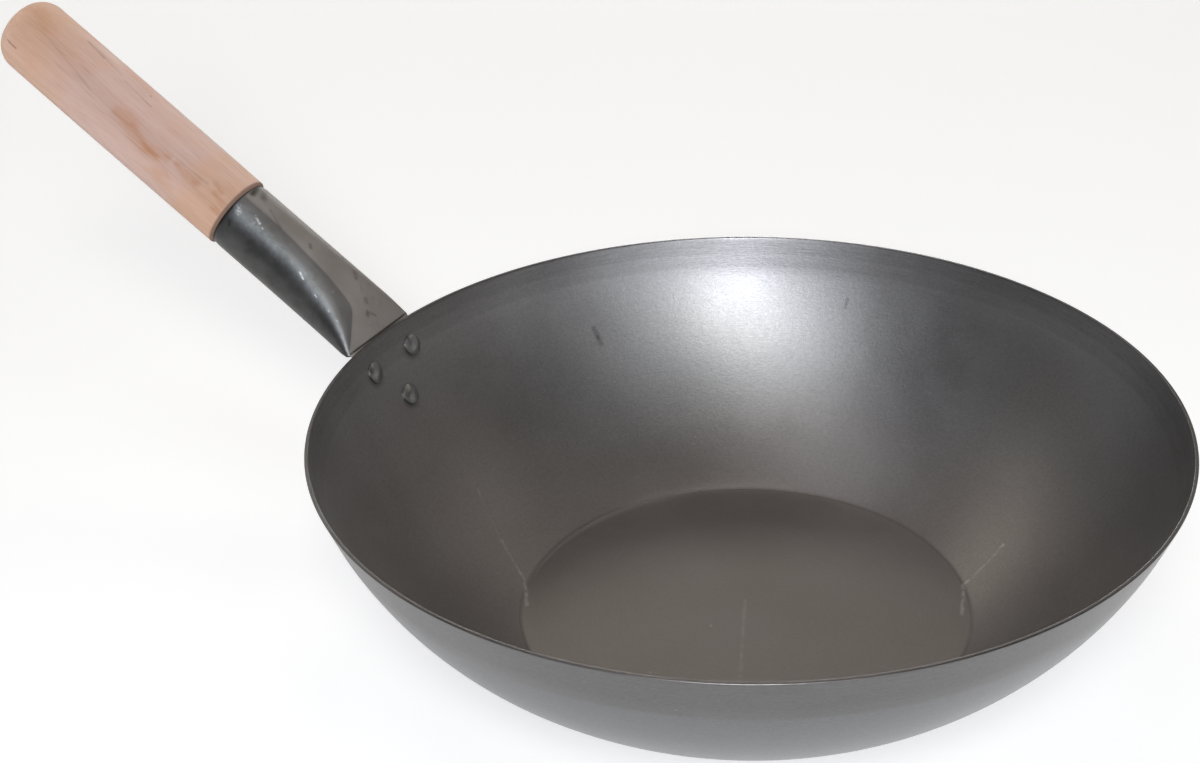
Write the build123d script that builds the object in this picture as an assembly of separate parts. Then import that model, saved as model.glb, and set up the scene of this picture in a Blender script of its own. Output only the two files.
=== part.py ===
from build123d import *
import os
from math import asin, atan2, copysign, cos, degrees, pi, radians, sin, sqrt

# A wok for the stove: a pressed steel bowl with a flat base, a rolled steel
# socket riveted on behind its rim, and a turned wood grip driven into the
# socket. Millimetres. The origin is the centre of the base's underside, +Z is
# up, and the handle leaves the bowl along -X and rises.

# Bowl
rim_radius = 175            # outside of the rim
bowl_height = 90            # floor to the top of the rim
sheet = 1.5                 # thickness of the bowl's sheet
base_radius = 93.7          # where the base's plane meets the wall's curve
base_rounding = 4           # outside rounding between the base and the wall
wall_curve_radius = 152.7   # outside curve of the wall, from the base to the band
band_height = 15            # straight band under the rim
band_lean = 6.1             # how far the band leans out over its height
rim_softening = 0.35        # rounding of the rim's two trimmed edges

# Line of the handle
handle_rise_angle = 32.6    # above the horizontal
root_drop = 1.5             # the handle's axis passes this far below the rim

# Socket, one sheet rolled to a tube that flattens towards the bowl
socket_length = 83          # along the axis, from the rim to the mouth
socket_sheet = 1.5
mouth_radius = 15.8         # outside of the tube at its mouth
mouth_draw = 0.4            # the mouth is drawn in on the wood by this much
mouth_draw_length = 4       # length of the drawn end
fold_radius = 1.9           # outside of the fold at each side of the flat root
flattening_power = 3.1      # 1 flattens the tube evenly, more keeps it round closer to the bowl
flat_share = 0.955          # width of the flat over that of a tube pressed flat
root_start = 1.2            # the root's flat begins this far out from the rim
root_dip = 0.9              # the root sinks this far below the axis to lie on the wall
dip_length = 15             # length over which it sinks
root_overrun = 12           # extra length, trimmed off along the wall
seam_gap = 0.5              # between the two edges of the rolled sheet
seam_length = 25            # closed part of the seam, from the mouth
opening_flare = 1.02        # half width of the opening over half width of the root
wall_gap = 0.15             # between the wall and the riveted tab
tab_margin = 9              # sheet around the middle of each rivet
bend_relief = 0.6           # the tab is this much narrower than the flat root, each side

# Rivets
rivet_spread = 14.5         # each upper rivet to the handle's plane
upper_rivet_drop = 11.3     # below the rim
lower_rivet_drop = 27.3     # below the rim
shank_radius = 2.5
head_radius = 4.5           # inside the bowl
head_height = 1.5
tail_radius = 3.9           # hammered over, outside
tail_height = 1.9
head_edge_share = 0.35      # upright part of a head's height
rivet_clearance = 0.05      # around the shank
rivet_seat_gap = 0.08       # under the head and the tail

# Grip
grip_length = 134.4         # from the socket's mouth to the tip
shoulder_radius = 16.8      # at the socket
belly_radius = 17.0         # at mid length
tip_radius = 16.9           # where the end begins to round off
shoulder_rounding = 1.4
tip_rounding = 11
tip_crown = 1.6             # the middle of the end stands out this far
tenon_length = 40           # inside the socket
tenon_clearance = 0.15
shoulder_gap = 0.1          # between the socket's mouth and the shoulder

# Nail that keeps the grip in the socket
nail_inset = 10             # behind the socket's mouth
nail_turn_angle = 225       # around the axis, on the side away from the seam
nail_radius = 1.1
nail_length = 12
nail_point = 2.2            # length of its point
nail_tip_share = 0.35       # blunt end of the point over the nail's radius
nail_head_radius = 2.4
nail_head_height = 0.8
nail_clearance = 0.05
nail_seat_gap = 0.05        # under its head

# One length that carries a cut clear of what it cuts
overrun = 5


band_foot = Vector(rim_radius - band_lean, bowl_height - band_height)
band_up = Vector(band_lean, band_height).normalized()
band_out = Vector(band_height, -band_lean).normalized()
wall_centre = RadiusArc((base_radius, 0), band_foot, -wall_curve_radius).arc_center


def wall_outline(outwards):
    """Section of the bowl's outside at an offset outwards: base, rounding, curve and band."""
    curve_radius = wall_curve_radius + outwards
    base_end = Vector(wall_centre.X + sqrt(curve_radius**2 - (wall_centre.Y + outwards) ** 2), -outwards)
    band_start = band_foot + band_out * outwards
    arm = band_start - wall_centre
    along = arm.dot(band_up)
    half_chord = sqrt(along**2 - arm.dot(arm) + curve_radius**2)
    band_start += band_up * (copysign(half_chord, along) - along)
    band_end = band_foot + band_out * outwards + band_up * (band_height + overrun)
    base = Line((0, -outwards), base_end)
    curve = RadiusArc(base_end, band_start, -curve_radius)
    band = Line(band_start, band_end)
    outline = Wire([base.edge(), curve.edge(), band.edge()])
    corner = outline.vertices().sort_by_distance(base_end)[0]
    return outline.fillet_2d(base_rounding + outwards, [corner])


def wall_at(height):
    """Outside radius of the wall at a height, and how far its normal points below the horizontal."""
    if height > band_foot.Y:
        share = (height - band_foot.Y) / band_height
        return band_foot.X + band_lean * share, degrees(atan2(band_lean, band_height))
    rise = wall_centre.Y - height
    reach = sqrt(wall_curve_radius**2 - rise**2)
    return wall_centre.X + reach, degrees(atan2(rise, reach))


def wall_filling(outwards):
    """Solid of all that lies within an offset outwards from the bowl's outside, and straight above it."""
    outline = wall_outline(outwards)
    end = outline.vertices().sort_by(Axis.Y)[-1]
    top = bowl_height + rim_radius
    lid = Polyline((end.X, end.Y), (end.X, top), (0, top), (0, -outwards))
    face = make_face(list(outline.edges()) + list(lid.edges()))
    return revolve(Plane.XZ * face, Axis.Z)


def rivet_place(across, drop):
    """Where a rivet goes through the wall: on its outside, with local Z square out of it."""
    radius, lean = wall_at(bowl_height - drop)
    turn = degrees(asin(across / radius))
    return Rot(0, 0, 180 + turn) * Pos(radius, 0, bowl_height - drop) * Rot(0, 90 + lean, 0)


rivet_places = {
    "rivet_left": rivet_place(-rivet_spread, upper_rivet_drop),
    "rivet_right": rivet_place(rivet_spread, upper_rivet_drop),
    "rivet_lower": rivet_place(0, lower_rivet_drop),
}
rivet_hole_radius = shank_radius + rivet_clearance


def rivet_holes():
    """Cylinders through the wall and the tab, one for each rivet."""
    length = 2 * (sheet + wall_gap + socket_sheet) + 2 * overrun
    return [place * Cylinder(rivet_hole_radius, length) for place in rivet_places.values()]


# Local frame of the handle: X across, Y towards the open side of the bowl, Z out along the axis
handle_plane = Plane(
    origin=(-rim_radius, 0, bowl_height - root_drop),
    x_dir=(0, -1, 0),
    z_dir=(-cos(radians(handle_rise_angle)), 0, sin(radians(handle_rise_angle))),
)


def tube_radius(station):
    """Outside radius of the socket's rounded sides at a distance from the rim."""
    share = max(0, station - root_start) / (socket_length - root_start)
    return mouth_radius - (mouth_radius - fold_radius) * (1 - share) ** flattening_power


def side_radius(station):
    """The same with the end at the mouth drawn in."""
    drawn_share = max(0, 1 - (socket_length - station) / mouth_draw_length)
    return tube_radius(station) - mouth_draw * drawn_share**2


def half_flat(station):
    """Half width of the socket's flat, from the girth that the rolled sheet gives up at its sides."""
    return flat_share * pi / 2 * (mouth_radius - tube_radius(station)) + seam_gap / 2


def sink(station):
    """How far the socket's middle lies below the axis, near the bowl."""
    share = max(0, 1 - station / dip_length)
    return root_dip * share**2


def socket_section(station, inset):
    """Closed section of the socket, its sides' radius smaller by the inset."""
    slot = SlotCenterToCenter(2 * half_flat(station), 2 * (side_radius(station) - inset))
    return handle_plane * Pos(0, -sink(station), station) * slot


# Sections of the socket, as shares of its length from the mouth to the root
station_shares = (1, 0.975, 0.95, 0.82, 0.66, 0.51, 0.37, 0.25, 0.15, 0.07, 0)


def socket_hull(inset, mouth_overrun):
    """Solid inside the socket's surface at an inset, with spare length at its ends."""
    stations = [root_start + (socket_length - root_start) * share for share in station_shares]
    sections = [socket_section(station, inset) for station in stations]
    hull = loft(sections)
    root = extrude(sections[-1], amount=root_overrun, dir=-handle_plane.z_dir)
    hull = hull + root
    if mouth_overrun:
        hull = hull + extrude(sections[0], amount=mouth_overrun, dir=handle_plane.z_dir)
    return hull


def seam_opening():
    """Cut along the underside: a narrow seam that opens to the socket's full width at the bowl."""
    root_half = opening_flare * (half_flat(root_start) + fold_radius)
    apex = socket_length - seam_length
    spread_share = (apex + root_overrun) / apex
    points = [
        (-seam_gap / 2, socket_length + overrun),
        (seam_gap / 2, socket_length + overrun),
        (seam_gap / 2, apex),
        (root_half * spread_share, -root_overrun),
        (-root_half * spread_share, -root_overrun),
        (-seam_gap / 2, apex),
    ]
    plan = Plane(origin=handle_plane.origin, x_dir=handle_plane.x_dir, z_dir=-handle_plane.y_dir)
    outline = [Vector(x, z) for x, z in points]
    face = plan * Pos(0, 0, root_dip) * make_face(Polyline(*outline, close=True).edges())
    return extrude(face, amount=mouth_radius + overrun)


def tab_plan():
    """Outline of the riveted tab, seen along the handle: round each rivet and up to the root."""
    half_width = half_flat(root_start) - bend_relief
    low = Pos(0, bowl_height - lower_rivet_drop) * Circle(tab_margin)
    upper_height = bowl_height - upper_rivet_drop
    uppers = [Pos(across, upper_height) * Circle(tab_margin) for across in (-rivet_spread, rivet_spread)]
    edges = low.edges() + uppers[0].edges() + uppers[1].edges()
    shield = make_face(make_hull(edges).edges())
    neck_height = upper_rivet_drop + overrun
    neck = Pos(0, upper_height + neck_height / 2) * Rectangle(2 * half_width, neck_height)
    return shield + neck


def handle_socket():
    """Rolled socket with its root flattened, bent down behind the rim and riveted to the wall."""
    shell = socket_hull(0, 0) - socket_hull(socket_sheet, overrun) - seam_opening()
    shell = shell - wall_filling(wall_gap)
    side_plane = Plane(origin=(0, 0, 0), x_dir=(0, -1, 0), z_dir=(-1, 0, 0))
    block = extrude(side_plane * tab_plan(), amount=rim_radius + overrun)
    tab = (block & wall_filling(wall_gap + socket_sheet)) - wall_filling(wall_gap)
    above = handle_plane * Pos(0, fold_radius - sink(root_start) - socket_sheet / 2, 0)
    lid = above * Box(rim_radius, rim_radius, rim_radius, align=(Align.CENTER, Align.MIN, Align.CENTER))
    tab = tab - lid
    socket = shell + tab
    for hole in rivet_holes():
        socket = socket - hole
    socket = socket - nail_place() * Cylinder(nail_radius + nail_clearance, 2 * mouth_radius)
    return socket


def nail_place():
    """Where the nail enters: on the socket's outside, with local Z square out of it."""
    station = socket_length - nail_inset
    turn = radians(nail_turn_angle)
    taper = (mouth_radius - tube_radius(station)) / nail_inset
    slope = taper * (1 + flat_share * pi / 2 * cos(turn))
    centre = Vector(-half_flat(station), -sink(station), station)
    radial = Vector(cos(turn), sin(turn), 0)
    surface = centre + radial * side_radius(station)
    local = Plane(origin=surface, z_dir=(radial.X, radial.Y, -slope))
    return handle_plane.location * local.location


def wok_bowl():
    """Pressed bowl, its rim trimmed level, with three rivet holes."""
    bowl = wall_filling(0) - wall_filling(-sheet)
    above = Pos(0, 0, bowl_height) * Cylinder(
        rim_radius + overrun, rim_radius + overrun, align=(Align.CENTER, Align.CENTER, Align.MIN)
    )
    bowl = bowl - above
    lowest, highest = bowl_height - rim_softening, bowl_height + rim_softening
    rim_edges = bowl.edges().filter_by_position(Axis.Z, lowest, highest)
    bowl = fillet(rim_edges, rim_softening)
    for hole in rivet_holes():
        bowl = bowl - hole
    return bowl


def dome(radius, height):
    """Low dome on the local floor: a ball's cap over a short upright edge."""
    cap = height * (1 - head_edge_share)
    ball_radius = (radius**2 + cap**2) / (2 * cap)
    ball = Pos(0, 0, height - ball_radius) * Sphere(ball_radius)
    return ball & Cylinder(radius, height, align=(Align.CENTER, Align.CENTER, Align.MIN))


def rivet():
    """Rivet with its shank along Z: the head inside the bowl below, the tail outside above."""
    head_floor = -sheet - rivet_seat_gap
    tail_floor = wall_gap + socket_sheet + rivet_seat_gap
    shank = Pos(0, 0, head_floor) * Cylinder(
        shank_radius, tail_floor - head_floor, align=(Align.CENTER, Align.CENTER, Align.MIN)
    )
    head = Pos(0, 0, head_floor) * Rot(180, 0, 0) * dome(head_radius, head_height)
    tail = Pos(0, 0, tail_floor) * dome(tail_radius, tail_height)
    return head + shank + tail


def wood_grip():
    """Turned grip: a tapered tenon, a shoulder, a slightly swelling body and a rounded end."""
    tenon_end = socket_length - tenon_length
    tenon_end_radius = side_radius(tenon_end) - socket_sheet - tenon_clearance
    tenon_root_radius = side_radius(socket_length) - socket_sheet - tenon_clearance
    shoulder = socket_length + shoulder_gap
    tip = socket_length + grip_length
    body_end = tip - tip_crown - tip_rounding
    outline = Polyline(
        (0, tenon_end),
        (tenon_end_radius, tenon_end),
        (tenon_root_radius, socket_length),
        (tenon_root_radius, shoulder),
        (shoulder_radius, shoulder),
    )
    body = ThreePointArc(
        (shoulder_radius, shoulder), (belly_radius, (shoulder + body_end) / 2), (tip_radius, body_end)
    )
    corner = RadiusArc(body @ 1, (tip_radius - tip_rounding, body_end + tip_rounding), -tip_rounding)
    crown = Spline(corner @ 1, (0, tip), tangents=[corner % 1, (-1, 0)])
    axis = Line((0, tip), (0, tenon_end))
    edges = list(outline.edges()) + [body.edge(), corner.edge(), crown.edge(), axis.edge()]
    grip = revolve(Plane.XZ * make_face(edges), Axis.Z)
    rings = grip.edges().filter_by(GeomType.CIRCLE)
    shoulder_ring = [e for e in rings if abs(e.radius - shoulder_radius) < shoulder_gap]
    grip = fillet(shoulder_ring, shoulder_rounding)
    grip = handle_plane.location * grip
    return grip - nail_place() * Cylinder(nail_radius + nail_clearance, 2 * (nail_length + nail_clearance))


def grip_nail():
    """Round nail with its head on the socket's outside."""
    depth = nail_length - nail_point
    shank = Pos(0, 0, nail_seat_gap) * Cylinder(
        nail_radius, depth + nail_seat_gap, align=(Align.CENTER, Align.CENTER, Align.MAX)
    )
    point = Pos(0, 0, -depth) * Cone(
        nail_radius * nail_tip_share, nail_radius, nail_point, align=(Align.CENTER, Align.CENTER, Align.MAX)
    )
    head = Pos(0, 0, nail_seat_gap) * dome(nail_head_radius, nail_head_height)
    return nail_place() * (head + shank + point)


pieces = {
    "wok_bowl": wok_bowl(),
    "handle_socket": handle_socket(),
    "wood_grip": wood_grip(),
    "grip_nail": grip_nail(),
}
for name, place in rivet_places.items():
    pieces[name] = place * rivet()

os.makedirs("parts", exist_ok=True)
for name, piece in pieces.items():
    export_step(piece, f"parts/{name}.step")
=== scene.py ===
import math

import bpy
import numpy as np
from mathutils import Matrix, Vector, noise


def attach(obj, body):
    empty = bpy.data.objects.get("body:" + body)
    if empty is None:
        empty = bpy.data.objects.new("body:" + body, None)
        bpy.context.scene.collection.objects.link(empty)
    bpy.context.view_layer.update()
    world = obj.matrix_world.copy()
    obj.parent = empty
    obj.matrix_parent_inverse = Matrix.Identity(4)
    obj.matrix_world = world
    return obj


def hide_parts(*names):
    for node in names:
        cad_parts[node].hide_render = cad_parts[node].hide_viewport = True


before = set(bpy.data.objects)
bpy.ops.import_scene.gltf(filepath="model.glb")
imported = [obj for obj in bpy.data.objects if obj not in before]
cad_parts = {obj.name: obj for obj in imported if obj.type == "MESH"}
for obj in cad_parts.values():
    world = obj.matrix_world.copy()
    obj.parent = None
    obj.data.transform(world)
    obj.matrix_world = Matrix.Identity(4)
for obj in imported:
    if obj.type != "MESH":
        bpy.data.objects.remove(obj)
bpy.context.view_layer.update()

scene = bpy.context.scene
mm = 0.001

# The camera stands where the photograph was taken from. Its place, aim and
# focal length follow from the rim's and the base's ellipses in a picture
# 1200 pixels wide.
photo_width = 1200
focal_pixels = 2186.22
sensor_width = 36
nearest_seen, farthest_seen = 0.01, 50
camera_place = Vector((0.32326, -0.68541, 0.52032))
camera_right = Vector((0.876513, 0.480581, -0.027686))
camera_up = Vector((-0.208222, 0.430366, 0.878310))
camera_back = camera_right.cross(camera_up)
lens = bpy.data.cameras.new("photo_camera")
lens.sensor_width = sensor_width
lens.lens = sensor_width * focal_pixels / photo_width
lens.clip_start = nearest_seen
lens.clip_end = farthest_seen
camera = bpy.data.objects.new("photo_camera", lens)
scene.collection.objects.link(camera)
camera_axes = Matrix((camera_right, camera_up, camera_back)).transposed()
camera.matrix_world = Matrix.Translation(camera_place) @ camera_axes.to_4x4()
scene.camera = camera

# The bowl is pressed from one steel sheet: a flat base, a rounded corner, a
# curved wall and a straight band under the rim, which is trimmed level. Its
# inside is finely brushed round the axis and keeps light hairline scratches;
# light lines up the wall from the base's corner on both sides are painted glints.
rim_radius = 175 * mm
bowl_height = 90 * mm
bowl_sheet = 1.5 * mm
base_radius = 93.7 * mm
base_rounding = 4 * mm
wall_curve_radius = 152.7 * mm
band_height = 15 * mm
band_lean = 6.1 * mm
rim_softening = 0.35 * mm
crease_reach = 2.2 * mm         # the wall's curve runs into the band over this length
bowl_segments = 576
flat_points, corner_points, wall_points, crease_points, band_points = 40, 14, 90, 9, 20
edge_points = 6
sharp_angle = math.radians(38)  # flatter bends are shaded as one surface
wave_depth = 0.1 * mm           # the press leaves waves this deep in the wall
wave_fade = 25 * mm             # they fade out over this height
calm_at_base, calm_at_rim = 6 * mm, 4 * mm
long_waves, short_waves = (14, 9), (31, 18)     # to the metre, level and upright
short_wave_shift = 7
short_wave_share = 0.5
wave_drop_share = 0.6

band_foot = np.array((rim_radius - band_lean, bowl_height - band_height))
band_up = np.array((band_lean, band_height)) / math.hypot(band_lean, band_height)
band_out = np.array((band_up[1], -band_up[0]))
chord = band_foot - np.array((base_radius, 0))
chord_length = math.hypot(*chord)
chord_normal = np.array((-chord[1], chord[0])) / chord_length
wall_centre = (band_foot + (base_radius, 0)) / 2 + chord_normal * math.sqrt(
    wall_curve_radius**2 - (chord_length / 2) ** 2
)


def wall_at(height):
    """Outside radius of the wall at a height, and its normal as (outwards, upwards)."""
    if height > band_foot[1]:
        share = (height - band_foot[1]) / band_height
        return band_foot[0] + band_lean * share, band_out
    rise = wall_centre[1] - height
    reach = math.sqrt(wall_curve_radius**2 - rise**2)
    return wall_centre[0] + reach, np.array((reach, -rise)) / wall_curve_radius


def arc(centre, radius, start, end, count):
    """Points round a centre from one angle to another, in degrees."""
    turns = np.radians(np.linspace(start, end, count))
    return [(centre[0] + radius * math.cos(t), centre[1] + radius * math.sin(t)) for t in turns]


def curve(start, knee, end, share):
    """Point of a smooth curve that leaves its start towards the knee, and reaches its end from it."""
    rest = 1 - share
    return start * rest**2 + knee * 2 * rest * share + end * share**2


def angle_round(centre, point):
    """Direction of a point from a centre, in degrees."""
    return math.degrees(math.atan2(*(point - centre)[::-1]))


def bowl_skin(inset):
    """Outline of one face of the sheet, from the axis up to the band's top."""
    curve_radius = wall_curve_radius - inset
    corner_reach = wall_curve_radius - base_rounding
    corner_radius = wall_centre[0] + math.sqrt(corner_reach**2 - (wall_centre[1] - base_rounding) ** 2)
    corner = np.array((corner_radius, base_rounding))
    corner_turn = angle_round(wall_centre, corner)
    foot = band_foot - band_out * inset
    arm = foot - wall_centre
    along = float(arm @ band_up)
    foot = foot + band_up * (-along - math.sqrt(along**2 - arm @ arm + curve_radius**2))
    top = foot + band_up * ((bowl_height - foot[1]) / band_up[1])
    flat = [(share * corner_radius, inset) for share in np.linspace(0, 1, flat_points)[:-1]]
    round_corner = arc(corner, base_rounding - inset, -90, corner_turn, corner_points)
    wall_turn = angle_round(wall_centre, foot) - math.degrees(crease_reach / curve_radius)
    wall = arc(wall_centre, curve_radius, corner_turn, wall_turn, wall_points)[1:]
    wall_end = np.array(wall[-1])
    wall_way = np.array((-math.sin(math.radians(wall_turn)), math.cos(math.radians(wall_turn))))
    band_start = foot + band_up * crease_reach
    reaches = np.linalg.solve(np.column_stack((wall_way, band_up)), band_start - wall_end)
    knee = wall_end + wall_way * reaches[0]
    crease_shares = np.linspace(0, 1, crease_points)[1:]
    crease = [tuple(curve(wall_end, knee, band_start, share)) for share in crease_shares]
    band_shares = np.linspace(0, 1, band_points)[1:]
    band = [tuple(band_start + (top - band_start) * share) for share in band_shares]
    return flat + round_corner + wall + crease + band


def softened(outside, inside, rounding):
    """Joins two skins over the trimmed rim, with both of its edges rounded."""
    turn = math.degrees(math.atan2(band_up[1], band_up[0]))
    half_turn = math.tan(math.radians(turn) / 2)
    outside_centre = (outside[-1][0] - rounding / half_turn, bowl_height - rounding)
    inside_centre = (inside[-1][0] + rounding * half_turn, bowl_height - rounding)
    outside = [p for p in outside if p[1] < bowl_height - 2 * rounding]
    inside = [p for p in inside if p[1] < bowl_height - 2 * rounding]
    over = arc(outside_centre, rounding, turn - 90, 90, edge_points)
    back = arc(inside_centre, rounding, 90, turn + 90, edge_points)
    return outside + over + back + inside[::-1]


def turned(name, outline, segments, shift=None):
    """Mesh object of an outline of (radius, height) points turned round the axis."""
    steps = np.linspace(0, 2 * math.pi, segments, endpoint=False)
    verts, rings = [], []
    for radius, height in outline:
        if radius < 1e-9:
            rings.append([len(verts)])
            verts.append((0.0, 0.0, height))
            continue
        rings.append(list(range(len(verts), len(verts) + segments)))
        verts += [(radius * math.cos(t), radius * math.sin(t), height) for t in steps]
    faces = []
    for low, high in zip(rings, rings[1:]):
        for i in range(segments):
            j = (i + 1) % segments
            if len(low) == 1:
                faces.append((low[0], high[j], high[i]))
            elif len(high) == 1:
                faces.append((low[i], low[j], high[0]))
            else:
                faces.append((low[i], low[j], high[j], high[i]))
    if shift:
        verts = [shift(v) for v in verts]
    mesh = bpy.data.meshes.new(name)
    mesh.from_pydata(verts, [], faces)
    mesh.validate()
    mesh.shade_smooth()
    mesh.set_sharp_from_angle(angle=sharp_angle)
    made = bpy.data.objects.new(name, mesh)
    scene.collection.objects.link(made)
    return made


def pressed_unevenly(point):
    """Moves a point of the wall by the slight waves that the press leaves."""
    x, y, z = point
    radius = math.hypot(x, y)
    above_base = min(1, max(0, z - calm_at_base) / wave_fade)
    below_rim = min(1, max(0, bowl_height - calm_at_rim - z) / wave_fade)
    share = above_base * below_rim
    if share == 0:
        return point
    level, upright = long_waves
    long_wave = noise.noise(Vector((x * level, y * level, z * upright)))
    level, upright = short_waves
    short_wave = noise.noise(Vector((x * level, y * level, z * upright + short_wave_shift)))
    push = wave_depth * (long_wave + short_wave_share * short_wave) * share
    return (x * (1 + push / radius), y * (1 + push / radius), z - push * wave_drop_share)


bowl_outline = softened(bowl_skin(0), bowl_skin(bowl_sheet), rim_softening)
bowl = turned("wok_bowl_pressed", bowl_outline, bowl_segments, pressed_unevenly)


def new_material(name):
    """Empty node material and its tree."""
    material = bpy.data.materials.new(name)
    material.use_nodes = True
    material.node_tree.nodes.clear()
    return material, material.node_tree


def node(tree, kind, inputs=None, **settings):
    """Adds a node; an input is a value, or the output of another node."""
    made = tree.nodes.new("ShaderNode" + kind)
    for key, value in settings.items():
        setattr(made, key, value)
    for key, value in (inputs or {}).items():
        if isinstance(value, bpy.types.NodeSocket):
            tree.links.new(value, made.inputs[key])
        else:
            made.inputs[key].default_value = value
    return made


def math_of(tree, operation, first, second=0.0, third=0.0):
    """Output of a Math node."""
    return node(tree, "Math", {0: first, 1: second, 2: third}, operation=operation).outputs[0]


def vector_math(tree, operation, first, second, result="Vector"):
    """Output of a Vector Math node."""
    return node(tree, "VectorMath", {0: first, 1: second}, operation=operation).outputs[result]


def joined(tree, x, y, z=0.0):
    """Vector of three numbers."""
    return node(tree, "CombineXYZ", {"X": x, "Y": y, "Z": z}).outputs[0]


def spread(tree, value, low, high, to_low=0.0, to_high=1.0):
    """Maps a range of a value smoothly to another range."""
    made = node(
        tree,
        "MapRange",
        {"Value": value, "From Min": low, "From Max": high, "To Min": to_low, "To Max": to_high},
        interpolation_type="SMOOTHSTEP",
    )
    return made.outputs["Result"]


def across_mask(tree, mask, at_none, at_full):
    """A number that goes from one value to another as a mask goes from 0 to 1."""
    return spread(tree, mask, 0, 1, at_none, at_full)


def across_noise(tree, value, to_low=0.0, to_high=1.0):
    """Spreads the part of a noise where most of it lies over a range."""
    return spread(tree, value, 0.3, 0.7, to_low, to_high)


def noise_of(tree, vector, scale, detail=2, roughness=0.5):
    """Grey noise between 0 and 1."""
    made = node(
        tree,
        "TexNoise",
        {"Vector": vector, "Scale": scale, "Detail": detail, "Roughness": roughness},
    )
    return made.outputs["Fac"]


def blend_colours(tree, share, first, second):
    """Colour between two colours."""
    made = node(tree, "Mix", {"Factor": share}, data_type="RGBA")
    for socket, colour in ((made.inputs[6], first), (made.inputs[7], second)):
        if isinstance(colour, bpy.types.NodeSocket):
            tree.links.new(colour, socket)
        else:
            socket.default_value = (*colour, 1)
    return made.outputs[2]


def shaded(tree, colour, factor):
    """Colour made lighter or darker by a factor."""
    return node(tree, "VectorMath", {0: colour, "Scale": factor}, operation="SCALE").outputs["Vector"]


def relief(tree, height, strength, depth, under=None):
    """Normal of a fine relief, laid over another one where that is given."""
    inputs = {"Height": height, "Strength": strength, "Distance": depth}
    if under:
        inputs["Normal"] = under
    return node(tree, "Bump", inputs).outputs[0]


def output(tree, shader):
    """Ends a material."""
    node(tree, "OutputMaterial", {"Surface": shader})


def near_line(tree, place, start, end, width):
    """1 on a straight line between two points, fading to 0 at its width."""
    way = Vector(end) - Vector(start)
    from_start = vector_math(tree, "SUBTRACT", place, start)
    along_way = tuple(way / max(way.length_squared, 1e-12))
    share = vector_math(tree, "DOT_PRODUCT", from_start, along_way, "Value")
    held = node(tree, "Clamp", {"Value": share}).outputs[0]
    reached = node(tree, "VectorMath", {0: tuple(way), "Scale": held}, operation="SCALE")
    gap = vector_math(tree, "DISTANCE", from_start, reached.outputs["Vector"], "Value")
    return spread(tree, gap, 0, width, 1, 0)


def marks_on(tree, place, marks):
    """The strongest of several marks, each a line in millimetres with a width and a strength."""
    strongest = None
    for start, end, width, strength in marks:
        ends = [tuple(mm * c for c in point) for point in (start, end)]
        mark = math_of(tree, "MULTIPLY", near_line(tree, place, *ends, width * mm), strength)
        strongest = math_of(tree, "MAXIMUM", strongest, mark) if strongest else mark
    return strongest


# Marks on the steel in millimetres, each from one point to another, with its width
# and its strength.
# The first five marks are painted glints, up the wall from the base's corner on the left and the right; the
# rest are light scratches.
scratch_and_glint_marks = (
    ((-128.4, -1.1, 23.9), (-110, -13.2, 11.4), 1.0, 0.2),
    ((-110, -13.2, 11.4), (-91.5, -25.3, 2.2), 1.2, 0.5),
    ((-91.5, -25.3, 2.2), (-81.8, -40.2, 1.5), 1.4, 0.6),
    ((85.3, 74.7, 12.6), (75.6, 54.5, 1.5), 1.2, 0.55),
    ((75.6, 54.5, 1.5), (83.0, 33.5, 1.5), 1.4, 0.6),
    ((-1.7, 3.7, 1.5), (20.6, -47.8, 1.5), 1.3, 0.2),
    ((-6.4, -19, 1.5), (-6.0, -19.6, 1.5), 0.8, 0.5),
    ((-13.8, -59, 1.5), (-13.2, -59.5, 1.5), 0.8, 0.6),
)
# Dark lines painted on the wall; the code gives them no relief.
dark_line_marks = (
    ((-124.1, 98.2, 58.5), (-119.8, 96.6, 51.9), 2.0, 0.65),
    ((-24.3, 161.3, 66.6), (-24.3, 159.4, 63.1), 1.3, 0.45),
)
# Painted shadow: a dark ring on the wall round each rivet head, where its shade falls.
rivet_painted_shadow = (
    ((-167.9, -15.4, 78.7), (-167.9, -15.4, 78.7), 7.0, 1.3),
    ((-167.9, 13.4, 78.7), (-167.9, 13.4, 78.7), 7.0, 1.3),
    ((-160.7, -1.0, 62.9), (-160.7, -1.0, 62.9), 7.0, 1.3),
)

# Colours of the steel. A pair holds the darker and the lighter end of its mottle.
steel_warm = ((0.268, 0.251, 0.244), (0.308, 0.295, 0.290))
# Painted reflection tint: a cooler copy of the inside's colours, laid on the back of the wall where the
# lamps' highlight is seen.
steel_highlight_tint = ((0.256, 0.253, 0.256), (0.296, 0.297, 0.304))
# The outside is painted lighter and bluer towards the bottom, a painted reflection, and darker on the band
# under the rim, a painted shade.
steel_outside = ((0.15, 0.15, 0.155), (0.174, 0.176, 0.181))
steel_outside_painted_lighter_low = ((0.22, 0.222, 0.231), (0.252, 0.255, 0.265))
band_outside_shade_colour = (0.148, 0.145, 0.144)
corner_shade_colour = (0.16, 0.15, 0.145)
trimmed_edge_shade_colour = (0.10, 0.10, 0.105)
fleck_colour = (0.45, 0.45, 0.45)
scratch_and_glint_colour = (0.62, 0.61, 0.6)
dark_line_colour = (0.06, 0.05, 0.05)
rivet_shadow_colour = (0.03, 0.027, 0.025)
band_shade, lip_shade = 0.89, 0.89

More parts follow.
